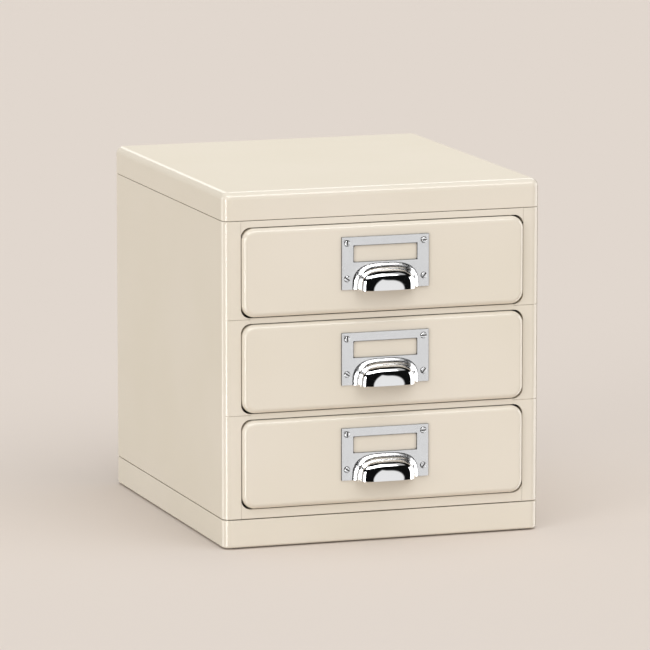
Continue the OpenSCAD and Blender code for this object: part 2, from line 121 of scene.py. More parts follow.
# %% Wrap a socket
class Wire:
    def __init__(self, tree, socket=None):
        self.tree = tree
        self.socket = socket

    def node(self, kind, settings=None, sockets=None, output=0):
        made = self.tree.nodes.new(kind)
        for name, value in (settings or {}).items():
            setattr(made, name, value)
        for name, value in (sockets or {}).items():
            if isinstance(value, Wire):
                self.tree.links.new(value.socket, made.inputs[name])
            else:
                made.inputs[name].default_value = value
        return Wire(self.tree, made.outputs[output])

    def sum(self, operation, first, second=0.0):
        return self.node("ShaderNodeMath", {"operation": operation}, {0: first, 1: second})

    def __add__(self, other):
        return self.sum("ADD", self, other)

    def __radd__(self, other):
        return self.sum("ADD", other, self)

    def __sub__(self, other):
        return self.sum("SUBTRACT", self, other)

    def __rsub__(self, other):
        return self.sum("SUBTRACT", other, self)

    def __mul__(self, other):
        return self.sum("MULTIPLY", self, other)

    def __rmul__(self, other):
        return self.sum("MULTIPLY", other, self)

    def rise(self, start, end):
        settings = {"interpolation_type": "SMOOTHSTEP"}
        return self.node("ShaderNodeMapRange", settings, {0: self, 1: start, 2: end})

    def blend(self, colour_at_0, colour_at_1):
        settings = {"data_type": "RGBA"}
        return self.node("ShaderNodeMix", settings, {0: self, 6: colour_at_0, 7: colour_at_1}, output=2)

    def feed(self, shader, name):
        self.tree.links.new(self.socket, shader.inputs[name])


def colour(red, green, blue):
    """Turn a colour as a screen shows it, from 0 to 255, into the light values that shaders use."""
    shown = (red / 255, green / 255, blue / 255)
    light = [v / 12.92 if v <= 0.04045 else ((v + 0.055) / 1.055) ** 2.4 for v in shown]
    return (*light, 1.0)


print("cream as light:", [round(v, 3) for v in colour(235, 226, 210)])

# %% [markdown]
# ## The studio
#
# A product photograph like this has one very large softbox overhead, a little in front of the cabinet, a
# low one on the left that grazes the front, and bright walls all round. Suns with wide discs give even
# light without falloff, so the pale floor stays one colour, and a plain sky stands for the walls. The
# lamps and the sky add up to one on a level surface, so colours come out as they are mixed.

# %% Light the studio
LAMP_DISTANCE = 5.0


def soft_sun(name, azimuth, elevation, energy, disc):
    towards_lamp = direction_of(azimuth, elevation)
    bpy.ops.object.light_add(type="SUN", location=LAMP_DISTANCE * towards_lamp)
    lamp = bpy.context.active_object
    lamp.name = name
    lamp.rotation_euler = towards_lamp.to_track_quat("Z", "Y").to_euler()
    lamp.data.energy = energy
    lamp.data.angle = math.radians(disc)
    lamp.visible_glossy = False
    level_share = energy * math.sin(math.radians(elevation)) / math.pi
    print(name, "gives", round(level_share, 2), "of the light on the floor")


soft_sun("overhead_softbox", 20.0, 66.0, 1.48, 80.0)
soft_sun("side_softbox", -60.0, 8.0, 1.04, 32.0)

# %% [markdown]
# ## What the gloss mirrors
#
# Chrome and enamel live from what they mirror. For mirrored rays alone the sky is therefore a studio seen
# from its middle. The sky's shader can ask what kind of ray has arrived, and from which direction, which
# is turned here into two angles: round from the front, and up from level.

# %% Tell the rays apart
studio = bpy.data.worlds.new("studio")
scene.world = studio
studio.use_nodes = True
sky = Wire(studio.node_tree)
sky_shader = studio.node_tree.nodes["Background"]
rays = sky.node("ShaderNodeLightPath")
ray_kinds = rays.socket.node.outputs
seen = Wire(sky.tree, ray_kinds["Is Camera Ray"])
scattered = Wire(sky.tree, ray_kinds["Diffuse Depth"])
mirrored = Wire(sky.tree, ray_kinds["Is Glossy Ray"]) * (1.0 - scattered.rise(0.0, 1.0))
direction = sky.node("ShaderNodeTexCoord", output="Generated")
across = sky.node("ShaderNodeSeparateXYZ", sockets={0: direction})
along = Wire(sky.tree, across.socket.node.outputs["Y"])
upward = Wire(sky.tree, across.socket.node.outputs["Z"])
turn = sky.sum("ARCTAN2", across, -1.0 * along) * (180.0 / math.pi)
lift = sky.sum("ARCSINE", upward) * (180.0 / math.pi)
print("sky has", len(studio.node_tree.nodes), "nodes so far")

# %% [markdown]
# ## Cards and flags
#
# The mirrored studio holds a pale card behind the camera, tall strip lights on both sides, a softbox
# overhead, a warm back wall, and dark flags between them that give chrome its black lines. Each card is a
# patch of directions with a soft edge, times its brightness.

# %% Hang the cards
AMBIENT = 0.52
FLAG_LIGHT = 0.005
BACKDROP = colour(225, 215, 206)


def card(turn_from, turn_to, lift_from, lift_to, soft=3.0):
    """A card in the mirrored studio: 1 inside the given angles and 0 outside, with a soft edge."""
    wide = turn.rise(turn_from - soft, turn_from + soft) - turn.rise(turn_to - soft, turn_to + soft)
    tall = lift.rise(lift_from - soft, lift_from + soft) - lift.rise(lift_to - soft, lift_to + soft)
    return wide * tall


def gable(turn_mid, half_turn, wall_lift, ridge_lift):
    """A card with a pointed top, like the front of a house."""
    aside = sky.sum("ABSOLUTE", (turn - turn_mid) * (1.0 / half_turn))
    above = sky.sum("MAXIMUM", (lift - wall_lift) * (1.0 / (ridge_lift - wall_lift)), 0.0)
    return 1.0 - (aside + above).rise(0.85, 1.15)


pale_card = 0.84 * gable(16.0, 15.0, -9.4, 18.0) * lift.rise(-40.0, -32.0)
left_strips = 9.5 * card(-67.0, -50.0, -50.0, 22.0, 2.0) + 3.5 * card(-130.0, -108.0, -50.0, 22.0)
left_wall = 0.4 * card(-132.0, -56.0, -50.0, 22.0)
right_strip = 3.3 * card(60.0, 110.0, -50.0, 24.0)
overhead = 6.0 * card(-70.0, 33.0, 42.0, 62.0) + 0.5 * card(33.0, 60.0, 42.0, 62.0)
back_strip = 2.2 * card(132.0, 166.0, 24.0, 44.0) + 1.1 * card(167.0, 300.0, 16.0, 30.0)
ground = 0.35 * (1.0 - lift.rise(-46.0, -34.0))
back_wall = 1.18 * card(149.0, 300.0, -60.0, 60.0) + 0.75 * card(-300.0, -145.0, -60.0, 60.0)
side_light = left_strips + left_wall + right_strip
mirror_light = FLAG_LIGHT + pale_card + side_light + overhead + back_strip + ground
cards = sky.node("ShaderNodeCombineXYZ", sockets={0: mirror_light, 1: mirror_light, 2: mirror_light})
wall_colour = colour(220, 211, 194)[:3]
warm_wall = sky.node("ShaderNodeVectorMath", {"operation": "SCALE"}, {0: wall_colour, "Scale": back_wall})
mirror_studio = sky.node("ShaderNodeVectorMath", {"operation": "ADD"}, {0: cards, 1: warm_wall})
plain_walls = (AMBIENT, AMBIENT, AMBIENT, 1.0)
seen.blend(mirrored.blend(plain_walls, mirror_studio), BACKDROP).feed(sky_shader, "Color")
print("cards hung:", len(studio.node_tree.nodes), "nodes")

# %% [markdown]
# ## The floor
#
# One large pale sheet. Its own colour is the background's colour, because the light on a level surface
# adds up to about one, and it keeps the cabinet's soft contact shadow.

# %% Lay the floor
bpy.ops.object.select_all(action="DESELECT")
bpy.ops.mesh.primitive_plane_add(size=60.0, location=(0.0, 0.0, 0.0))
floor = bpy.context.active_object
floor.name = "studio_floor"
floor_finish = bpy.data.materials.new("pale_floor")
floor_finish.use_nodes = True
floor_shader = floor_finish.node_tree.nodes["Principled BSDF"]
floor_shader.inputs["Base Color"].default_value = BACKDROP
floor_shader.inputs["Roughness"].default_value = 1.0
floor_shader.inputs["Specular IOR Level"].default_value = 0.0
floor.data.materials.append(floor_finish)
floor.visible_glossy = False
print("floor is", floor.dimensions.x, "m wide")

# %% [markdown]
# ## Cream enamel
#
# Stoved enamel on steel: nearly one colour, with a faint drift where the spray lay thicker, a satin shine
# that handling makes a little uneven, and the fine ripple called orange peel. The ripple is a bump of a
# few microns, wide enough to bend highlights without showing as grain.

# %% Mix the enamel
def new_finish(name):
    finish = bpy.data.materials.new(name)
    finish.use_nodes = True
    shader = finish.node_tree.nodes["Principled BSDF"]
    pen = Wire(finish.node_tree)
    place = pen.node("ShaderNodeTexCoord", output="Object")
    return finish, shader, pen, place


def noise(pen, place, scale, detail=2.0):
    return pen.node("ShaderNodeTexNoise", sockets={"Vector": place, "Scale": scale, "Detail": detail})


def bump(pen, height, depth):
    return pen.node("ShaderNodeBump", sockets={"Height": height, "Distance": depth, "Strength": 1.0})


enamel, shader, pen, place = new_finish("cream_enamel")
drift = noise(pen, place, 7.0)
drift.rise(0.25, 0.75).blend(colour(232, 224, 208), colour(235, 227, 213)).feed(shader, "Base Color")
smudge = noise(pen, place, 24.0, 4.0)
(0.08 + 0.06 * smudge).feed(shader, "Roughness")
bump(pen, noise(pen, place, 520.0, 1.0), 0.006 * MM).feed(shader, "Normal")
print("enamel nodes:", len(enamel.node_tree.nodes))

# %% [markdown]
# ## Chrome, brushed and polished
#
# Chrome has hardly a colour of its own, and its roughness tells the whole story. The flat plate was
# brushed from side to side before plating, so it has a satin shine with fine level streaks. The finger
# hood that stands out of it is polished, with only a faint haze from wiping. The two blend over the first
# millimetres in front of the plate. A near-black colour is painted along the window and the plate's edge
# and in a ring around each screw, as painted shade where the parts meet, and the chrome is rougher there.
# All three pulls share these lines, because heights are measured from the bottom of each pull, one drawer's
# pitch apart.

# %% Plan the plate
pulls = {level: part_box(level + "_label_pull") for level in LEVELS}
plate_t = 1.4 * MM
plate_y = pulls["top"][1].y - plate_t
plate_low, plate_high = pulls["bottom"]
plate_h = plate_high.z - plate_low.z
pull_pitch = pulls["middle"][0].z - plate_low.z
window_w, window_h, window_drop = 60.0 * MM, 14.7 * MM, 8.0 * MM
screw_side, screw_top, screw_low = 5.0 * MM, 5.5 * MM, 9.9 * MM
seat_r, seat_d = 2.85 * MM, 0.4 * MM
print("plate is", round(2 * plate_high.x / MM, 1), "by", round(plate_h / MM, 1), "mm")

# %% [markdown]
# Distances to the window and to the screws are plain sums of the coordinates. Each becomes a soft mask of
# painted shade, and the masks join into one by keeping the larger value.

# %% Mix the chrome
chrome, shader, pen, place = new_finish("bright_chrome")
shader.inputs["Metallic"].default_value = 1.0
axes = pen.node("ShaderNodeSeparateXYZ", sockets={0: place})
aside = pen.sum("ABSOLUTE", axes)
forward = plate_y - Wire(pen.tree, axes.socket.node.outputs["Y"])
height = Wire(pen.tree, axes.socket.node.outputs["Z"]) - plate_low.z
height = pen.sum("FLOORED_MODULO", height, pull_pitch)
polished = forward.rise(1.0 * MM, 6.0 * MM)
under_head = 1.0 - forward.rise(0.6 * MM, 1.0 * MM)

# Painted shade: dark lines along the window and the plate's edge, and dark rings around the screws, where
# shadow would fall between the parts.
from_window = pen.sum("ABSOLUTE", height - (plate_h - window_drop - window_h / 2)) - window_h / 2
from_window = pen.sum("MAXIMUM", from_window, aside - window_w / 2)
window_shade_line = 1.0 - from_window.rise(0.2 * MM, 0.45 * MM)
plate_edge_shade = pen.sum("MAXIMUM", aside - plate_high.x, height - plate_h).rise(-0.25 * MM, -0.05 * MM)
painted_edge_shade = pen.sum("MAXIMUM", window_shade_line, plate_edge_shade)
for screw_z in (screw_low, plate_h - screw_top):
    off_x = aside - (plate_high.x - screw_side)
    off_z = height - screw_z
    from_screw = pen.sum("SQRT", off_x * off_x + off_z * off_z)
    screw_shade_ring = (1.0 - from_screw.rise(seat_r, seat_r + 0.2 * MM)) * under_head
    painted_edge_shade = pen.sum("MAXIMUM", painted_edge_shade, screw_shade_ring)
# The painted shade colour is near black; the same painted shade mask also makes these lines rougher.
clean_chrome, painted_shade_colour = (0.92, 0.92, 0.925, 1.0), (0.10, 0.09, 0.08, 1.0)
painted_edge_shade.blend(clean_chrome, painted_shade_colour).feed(shader, "Base Color")

haze = noise(pen, place, 160.0, 5.0)
grain_scale = (50.0, 900.0, 3200.0)
stretched = pen.node("ShaderNodeVectorMath", {"operation": "MULTIPLY"}, {0: place, 1: grain_scale})
streaks = noise(pen, stretched, 1.0, 3.0)
brushed = (1.0 - polished) * (0.18 + 0.05 * streaks)
(0.03 + 0.05 * haze + brushed + 0.2 * painted_edge_shade).feed(shader, "Roughness")
bump(pen, streaks * (1.0 - polished), 0.0012 * MM).feed(shader, "Normal")
print("chrome nodes:", len(chrome.node_tree.nodes))

# %% [markdown]
# ## Zinc, nylon and rubber
#
# Posts, rivets and hidden screws are zinc plated, with the cloudy spangle that plating has. The runners
# and glides are moulded nylon, slightly waxy. The feet are matt black rubber with a fine grain.

# %% Mix the hidden finishes
zinc, shader, pen, place = new_finish("zinc_plate")
shader.inputs["Metallic"].default_value = 1.0
spangle = pen.node("ShaderNodeTexVoronoi", sockets={"Vector": place, "Scale": 160.0}, output="Color")
cloud = pen.node("ShaderNodeSeparateColor", sockets={0: spangle})
cloud.blend((0.5, 0.51, 0.53, 1.0), (0.62, 0.63, 0.64, 1.0)).feed(shader, "Base Color")
(0.3 + 0.16 * cloud).feed(shader, "Roughness")

nylon, shader, pen, place = new_finish("moulded_nylon")
flow = noise(pen, place, 30.0, 3.0)
flow.blend(colour(240, 239, 233), colour(231, 230, 222)).feed(shader, "Base Color")
(0.38 + 0.12 * flow).feed(shader, "Roughness")
bump(pen, noise(pen, place, 900.0), 0.01 * MM).feed(shader, "Normal")

rubber, shader, pen, place = new_finish("foot_rubber")
grain = noise(pen, place, 1400.0, 3.0)
grain.blend((0.012, 0.012, 0.012, 1.0), (0.03, 0.03, 0.03, 1.0)).feed(shader, "Base Color")
(0.7 + 0.15 * grain).feed(shader, "Roughness")
bump(pen, grain, 0.03 * MM).feed(shader, "Normal")
print("finishes:", ", ".join(m.name for m in (enamel, chrome, zinc, nylon, rubber)))

# %% [markdown]
# ## A few habits for modelling by operator
#
# Operators act on whatever is selected, so each step first clears the selection and then picks corners,
# edges or faces by where they lie. A block starts at its final size and place and is shaped in edit mode.

# %% Add a block and pick its parts
PICK_MODES = {"verts": "VERT", "edges": "EDGE", "faces": "FACE"}


def select_only(piece):
    bpy.ops.object.select_all(action="DESELECT")
    piece.select_set(True)
    bpy.context.view_layer.objects.active = piece


def add_block(name, low, high):
    bpy.ops.object.select_all(action="DESELECT")
    low, high = Vector(low), Vector(high)
    bpy.ops.mesh.primitive_cube_add(size=1.0, location=(low + high) / 2)
    block = bpy.context.active_object
    block.name = name
    block.scale = high - low
    bpy.ops.object.transform_apply(location=True, rotation=True, scale=True)
    return block


@contextmanager
def editing(piece):
    select_only(piece)
    bpy.ops.object.mode_set(mode="EDIT")
    yield
    bpy.ops.object.mode_set(mode="OBJECT")


def pick(piece, kind, test):
    """Select the verts, edges or faces that pass the test, and nothing else."""
    bpy.ops.mesh.select_mode(type=PICK_MODES[kind])
    bpy.ops.mesh.select_all(action="DESELECT")
    mesh = bmesh.from_edit_mesh(piece.data)
    mesh.normal_update()
    for item in getattr(mesh, kind):
        if test(item):
            item.select_set(True)
    bmesh.update_edit_mesh(piece.data)


def at(item, axis, value):
    """True where every corner of an edge or face has this coordinate."""
    return all(abs(corner.co[axis] - value) < 0.002 * MM for corner in item.verts)


def runs(edge, axis):
    span = edge.verts[1].co - edge.verts[0].co
    return abs(span[axis]) > 0.999 * span.length


print("parts to pick:", ", ".join(PICK_MODES))

# %% [markdown]
# ## From surface to finished piece
#
# Most pieces are sheet steel: a surface is shaped first, and a modifier then gives it its thickness. A
# finished piece is shaded smooth but for its sharp edges, gets its finish, and takes the place of its node
# in the frame, on the same body.

# %% Thicken and hand over
SHARP_ANGLE = math.radians(40.0)


def modify(piece, kind, **settings):
    select_only(piece)
    modifier = piece.modifiers.new(kind.lower(), kind)
    for name, value in settings.items():
        setattr(modifier, name, value)
    bpy.ops.object.modifier_apply(modifier=modifier.name)


def thicken(piece, thickness):
    """Give a surface the thickness of its sheet, inwards from the face that shows."""
    modify(piece, "SOLIDIFY", thickness=thickness, offset=-1.0, use_even_offset=True)


def hand_over(piece, body, finish, slot, *nodes):
    """Smooth a finished piece, give it its finish, and let it stand for its nodes on their body."""
    select_only(piece)
    bpy.ops.object.shade_smooth_by_angle(angle=SHARP_ANGLE)
    modify(piece, "WEIGHTED_NORMAL", keep_sharp=True)
    piece.data.name = piece.name
    piece.data.materials.clear()
    piece.data.materials.append(finish)
    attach(piece, body)
    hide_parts(*nodes)
    print(piece.name, "has", len(piece.data.polygons), "faces")


print("edges count as sharp from", round(math.degrees(SHARP_ANGLE)), "degrees")

# %% [markdown]
# ## Cap and plinth
#
# Both are shallow pans pressed from one sheet: the cap has a large rounding on top, the plinth a smaller
# one below, and both have a return bent inwards underneath. A block gets its upright corners and its two
# rims bevelled, the underside is drawn inwards and opened, and Solidify gives the sheet its thickness.
# Both stop a hair short of the case, which leaves the dark seams that the eye sees there.

# %% Press the pans
def pressed_pan(name, low, high, top_r, low_r, return_w):
    pan = add_block(name, low, high)
    middle = (low + high) / 2
    size = high - low
    with editing(pan):
        pick(pan, "edges", lambda edge: runs(edge, 2))
        bpy.ops.mesh.bevel(offset=corner_r, segments=14, affect="EDGES")
        pick(pan, "edges", lambda edge: at(edge, 2, high.z))
        bpy.ops.mesh.bevel(offset=top_r, segments=14, affect="EDGES")
        pick(pan, "edges", lambda edge: at(edge, 2, low.z))
        bpy.ops.mesh.bevel(offset=low_r, segments=8, affect="EDGES")
        pick(pan, "faces", lambda face: at(face, 2, low.z))
        bpy.ops.mesh.extrude_region_move(TRANSFORM_OT_translate={"value": (0, 0, 0)})
        shrink = (1 - 2 * return_w / size.x, 1 - 2 * return_w / size.y, 1)
        bpy.ops.transform.resize(value=shrink, center_override=middle)
        bpy.ops.mesh.delete(type="FACE")
    thicken(pan, sheet)
    return pan


cap_seam = Vector((0, 0, 0.5 * MM))
plinth_seam = Vector((0, 0, 0.9 * MM))
cap_edge_r, plinth_edge_r, seam_edge_r = 7.0 * MM, 2.0 * MM, 0.6 * MM
cap_return, plinth_return = 14.0 * MM, 24.0 * MM
cap = pressed_pan("cream_top_cap", cap_low + cap_seam, cap_high, cap_edge_r, seam_edge_r, cap_return)
hand_over(cap, "case", enamel, "cream_paint", "top_cap")
plinth = pressed_pan("cream_plinth", plinth_low, plinth_high - plinth_seam,
                     seam_edge_r, plinth_edge_r, plinth_return)
hand_over(plinth, "case", enamel, "cream_paint", "base_plinth")

# %% [markdown]
# ## Rubber feet
#
# Four buttons pushed into the plinth's return. Each is a low cylinder with an eased rim and a stem that
# ends in a barb, made by insetting and extruding the upper face.

# %% Turn the feet
feet_low, feet_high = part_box("rubber_feet")
foot_r, stem_r, barb_h = 7.0 * MM, 3.0 * MM, 2.0 * MM
BARB_GROWTH = 1.33
foot_rise = plinth_low.z
foot_x = feet_high.x - foot_r
foot_ys = (feet_low.y + foot_r, feet_high.y - foot_r)


def join(pieces):
    select_only(pieces[0])
    for piece in pieces:
        piece.select_set(True)
    bpy.ops.object.join()
    return bpy.context.active_object


def rubber_foot(name, x, y):
    bpy.ops.object.select_all(action="DESELECT")
    place = (x, y, foot_rise / 2)
    bpy.ops.mesh.primitive_cylinder_add(vertices=48, radius=foot_r, depth=foot_rise, location=place)
    foot = bpy.context.active_object
    foot.name = name
    bpy.ops.object.transform_apply(location=True, rotation=True, scale=True)
    with editing(foot):
        pick(foot, "faces", lambda face: at(face, 2, foot_rise))
        bpy.ops.mesh.inset(thickness=foot_r - stem_r)
        bpy.ops.mesh.extrude_region_move(TRANSFORM_OT_translate={"value": (0, 0, sheet)})
        bpy.ops.mesh.extrude_region_move(TRANSFORM_OT_translate={"value": (0, 0, 0)})
        bpy.ops.transform.resize(value=(BARB_GROWTH, BARB_GROWTH, 1), center_override=(x, y, 0))
        bpy.ops.mesh.extrude_region_move(TRANSFORM_OT_translate={"value": (0, 0, barb_h)})
        pick(foot, "edges", lambda edge: at(edge, 2, 0.0))
        bpy.ops.mesh.bevel(offset=0.3 * MM, segments=3, affect="EDGES")
    return foot


feet = join([rubber_foot("rubber_foot", x, y) for x in (-foot_x, foot_x) for y in foot_ys])
feet.name = "rubber_feet_set"
hand_over(feet, "case", rubber, "black_rubber", "rubber_feet")

# %% [markdown]
# ## The case shell
#
# Each side panel is one sheet with its rounded corners, its front stile and its rear return. It is quickest
# to make the whole ring first: a tube with bevelled corners whose rims are bent inwards as seats for
# cap and plinth. The bends have a small radius, which is the light line under each dark seam.

# %% Bend the shell
shell_low = Vector((-half_w, face_y, body_z))
shell_high = Vector((half_w, back_y, seam_z))
shell = add_block("case_shell", shell_low, shell_high)
bend_r = 0.5 * MM
seat_w = 13.0 * MM
with editing(shell):
    pick(shell, "edges", lambda edge: runs(edge, 2))
    bpy.ops.mesh.bevel(offset=corner_r, segments=14, affect="EDGES")
    for rim_z in (body_z, seam_z):
        pick(shell, "edges", lambda edge: at(edge, 2, rim_z))
        bpy.ops.mesh.bevel(offset=bend_r, segments=5, affect="EDGES")
        pick(shell, "faces", lambda face: at(face, 2, rim_z))
        bpy.ops.mesh.extrude_region_move(TRANSFORM_OT_translate={"value": (0, 0, 0)})
        shrink = (1 - seat_w / half_w, 1 - 2 * seat_w / (back_y - face_y), 1)
        bpy.ops.transform.resize(value=shrink, center_override=(shell_low + shell_high) / 2)
        bpy.ops.mesh.delete(type="FACE")
thicken(shell, sheet)
print("shell has", len(shell.data.polygons), "faces")

# %% [markdown]
# ## The openings
#
# Three rounded openings are punched through the shell, a little larger than the drawer fronts. Between
# them lie the dividers, whose webs run a little above the middle of their faces.

# %% Plan the openings
reveal, opening_r = 0.8 * MM, 9.0 * MM
fronts = {level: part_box(level + "_drawer_front") for level in LEVELS}
opening_x = fronts["top"][1].x + reveal
opening_low_z = {level: fronts[level][0].z - reveal for level in LEVELS}
opening_high_z = {level: fronts[level][1].z + reveal for level in LEVELS}
divider_zs = [(fronts[a][1].z + fronts[b][0].z) / 2 for a, b in zip(LEVELS, LEVELS[1:])]
front_rear_y = fronts["top"][1].y
web_rise = 1.4 * MM
web_zs = [z + web_rise for z in divider_zs]
weld_x = opening_x - opening_r
weld_gap = 0.05 * MM
past = 5.0 * MM
print("dividers' webs at", [round(z / MM, 1) for z in web_zs], "mm")

# %% [markdown]
# ## Tools for the openings
#
# A rounded block punches each opening. The same block, grown by the sheet's thickness and hollowed by the
# punch, is the opening's edge turned inwards. A Boolean needs solids that overlap clearly, so each tool
# reaches past the sheet that it cuts.

# %% Shape the tools
def combine(piece, tool, operation):
    modify(piece, "BOOLEAN", object=tool, operation=operation, solver="MANIFOLD")
    bpy.data.objects.remove(tool, do_unlink=True)


def rounded_block(name, level, grow, from_y, to_y):
    """A block in a drawer's opening, or larger all round, with the opening's rounded corners."""
    low = (-opening_x - grow, from_y, opening_low_z[level] - grow)
    high = (opening_x + grow, to_y, opening_high_z[level] + grow)
    block = add_block(name, low, high)
    with editing(block):
        pick(block, "edges", lambda edge: runs(edge, 1))
        bpy.ops.mesh.bevel(offset=opening_r + grow, segments=12, affect="EDGES")
    return block


def opening_punch(level):
    return rounded_block("opening_punch", level, 0.0, face_y - past, front_rear_y + past)


def jamb_fold(level, low, high):
    """The opening's edge turned inwards, as far as the given box reaches."""
    jamb = rounded_block("jamb_fold", level, sheet, face_y + sheet / 2, front_rear_y)
    combine(jamb, opening_punch(level), "DIFFERENCE")
    combine(jamb, add_block("jamb_limit", low, high), "INTERSECT")
    return jamb


def stile_jamb(side, level):
    ends = sorted((side * (weld_x + weld_gap), side * (opening_x + past)))
    low_z, high_z = opening_low_z[level] - past, opening_high_z[level] + past
    if level == LEVELS[0]:
        low_z += past + opening_r
    if level == LEVELS[-1]:
        high_z -= past + opening_r
    return jamb_fold(level, (ends[0], face_y, low_z), (ends[1], front_rear_y + past, high_z))


print("jambs are", round((front_rear_y - face_y) / MM, 1), "mm deep")

# %% [markdown]
# ## Parting the shell
#
# One more tool keeps one side at a time: it ends at the opening's edge, but reaches further in between the
# drawers, where the stile carries the rounded corners. Slits beside each divider take the divider's tabs,
# and show as fine level lines. No real edge is perfectly sharp, and an eased edge catches the light. Only
# where the stile and a divider's face are welded flush do the ends stay sharp and close up.

# %% Part the shell
slit_x = half_w - corner_r + corner_r * math.sin(math.radians(45.0))
slit_h = 0.6 * MM


def copy_of(piece, name):
    select_only(piece)
    bpy.ops.object.duplicate(linked=False)
    twin = bpy.context.active_object
    twin.name = name
    return twin


def ease_but(piece, width, sharp):
    """Ease all edges but those that pass the test, where two sheets are welded flush."""
    with editing(piece):
        pick(piece, "edges", lambda edge: edge.calc_face_angle(0.0) > SHARP_ANGLE and not sharp(edge))
        bpy.ops.mesh.bevel(offset=width, segments=2, affect="EDGES", clamp_overlap=True)


def side_tool(side):
    outer, inner = side * (half_w + past), side * opening_x
    low = (min(outer, inner), face_y - past, body_z - past)
    high = (max(outer, inner), back_y + past, seam_z + past)
    tool = add_block("side_tool", low, high)
    low_z = opening_low_z["bottom"] + opening_r
    high_z = opening_high_z["top"] - opening_r
    with editing(tool):
        for point, normal in (((0, face_y + past, 0), (0, 1, 0)), ((0, 0, low_z), (0, 0, 1)),
                              ((0, 0, high_z), (0, 0, 1))):
            bpy.ops.mesh.select_all(action="SELECT")
            bpy.ops.mesh.bisect(plane_co=point, plane_no=normal)
        pick(tool, "faces", lambda face: at(face, 0, inner)
             and face.calc_center_median().y < face_y + past
             and low_z < face.calc_center_median().z < high_z)
        bpy.ops.mesh.extrude_region_move(TRANSFORM_OT_translate={"value": (-side * opening_r, 0, 0)})
    return tool


def slit_punch(side, z):
    ends = sorted((side * slit_x, side * (weld_x - past)))
    return add_block("slit_punch", (ends[0], face_y - past, z - slit_h / 2),
                     (ends[1], face_y + corner_r / 2, z + slit_h / 2))


combine(shell, join([opening_punch(level) for level in LEVELS]), "DIFFERENCE")
for name, side in SIDES.items():
    panel = copy_of(shell, "cream_" + name + "_side")
    combine(panel, side_tool(side), "INTERSECT")
    combine(panel, join([slit_punch(side, z) for z in web_zs]), "DIFFERENCE")
    for level in LEVELS:
        combine(panel, stile_jamb(side, level), "UNION")
    ease_but(panel, 0.3 * MM, lambda edge: at(edge, 0, side * weld_x))
    hand_over(panel, "case", enamel, "cream_paint", name + "_side_panel")
bpy.data.objects.remove(shell, do_unlink=True)

# %% [markdown]
# ## Top and bottom rail
#
# Each is an angle of sheet between the stiles: a narrow face, cut by the drawer's rounded corners, and a
# level web. From a block only the face and the web are kept, with a bend between them.

# %% Fold the outer rails
rail_close = 0.05 * MM


def ease(piece, width):
    modify(piece, "BEVEL", width=width, segments=2, limit_method="ANGLE", angle_limit=SHARP_ANGLE)


def outer_rail(name, node, level, bend_z):
    low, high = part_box(node)
    low.x, high.x = low.x - rail_close, high.x + rail_close
    rail = add_block(name, low, high)
    with editing(rail):
        pick(rail, "edges", lambda edge: at(edge, 1, face_y) and at(edge, 2, bend_z))
        bpy.ops.mesh.bevel(offset=bend_r, segments=5, affect="EDGES")
        other_z = low.z + high.z - bend_z
        pick(rail, "faces", lambda face: at(face, 2, other_z) or at(face, 1, high.y)
             or at(face, 0, low.x) or at(face, 0, high.x))
        bpy.ops.mesh.delete(type="FACE")
    thicken(rail, sheet)
    combine(rail, opening_punch(level), "DIFFERENCE")
    lip = jamb_fold(level, (low.x, face_y, low.z), (high.x, front_rear_y + past, high.z))
    combine(rail, lip, "UNION")
    ease(rail, 0.2 * MM)
    hand_over(rail, "case", enamel, "cream_paint", node)


outer_rail("cream_top_rail", "top_rail", "top", seam_z)
outer_rail("cream_bottom_rail", "bottom_rail", "bottom", body_z)

# %% [markdown]
# ## Divider rails
#
# A divider is a narrow face with a level web behind it. The web's tabs run sideways through the slits in
# the stiles and follow the case's rounded corner, half a millimetre inside the paint.

# %% Fit the dividers
tab_t, tab_recess = 0.4 * MM, 0.5 * MM
joint_gap = 0.25 * MM


def level_web(name, half_x, from_y, to_y, z, thickness):
    return add_block(name, (-half_x, from_y, z - thickness / 2), (half_x, to_y, z + thickness / 2))


def divider_rail(name, node, z):
    low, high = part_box(node)
    web = level_web(name, high.x, face_y + tab_recess, front_rear_y, z, tab_t)
    inset = Vector((tab_recess, tab_recess, 0))
    outline = add_block("outline_tool", shell_low + inset, shell_high - inset)
    with editing(outline):
        pick(outline, "edges", lambda edge: runs(edge, 2))
        bpy.ops.mesh.bevel(offset=corner_r - tab_recess, segments=14, affect="EDGES")
    combine(web, outline, "INTERSECT")
    rear_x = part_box("top_right_runner")[1].x - joint_gap
    combine(web, level_web("rear_web", rear_x, face_y + past, high.y, z, sheet), "UNION")
    face_x = weld_x - weld_gap
    strip = add_block("face_strip", (-face_x, face_y, low.z), (face_x, face_y + sheet, high.z))
    combine(web, strip, "UNION")
    ease_but(web, 0.2 * MM, lambda edge: abs(edge.verts[0].co.x) > face_x - past)
    hand_over(web, "case", enamel, "cream_paint", node)


for node, z in zip(("lower_divider_rail", "upper_divider_rail"), web_zs):
    divider_rail("cream_" + node, node, z)

# %% [markdown]
# ## Drawer fronts
#
# Each front is pressed like a shallow dish: rounded corners, and a softer rounding where the face turns
# back into the case. A block gets both bevels, loses its back, and becomes a sheet.

# %% Press the drawer fronts
front_r, front_edge_r = 11.5 * MM, 5.0 * MM
for level in LEVELS:
    low, high = fronts[level]
    front = add_block("cream_" + level + "_front", low, high)
    with editing(front):
        pick(front, "edges", lambda edge: runs(edge, 1))
        bpy.ops.mesh.bevel(offset=front_r, segments=16, affect="EDGES")
        pick(front, "edges", lambda edge: at(edge, 1, low.y))
        bpy.ops.mesh.bevel(offset=front_edge_r, segments=12, affect="EDGES")
        pick(front, "faces", lambda face: at(face, 1, high.y))
        bpy.ops.mesh.delete(type="FACE")
    thicken(front, sheet)
    hand_over(front, level + "_drawer", enamel, "cream_paint", level + "_drawer_front")

# %% [markdown]
# ## Drawer boxes
#
# An open tray with small bend radii, and flanges turned outwards along its sides that run in the case's
# channels. The tray is a block without its top, and the flanges are extruded from its upper side edges.

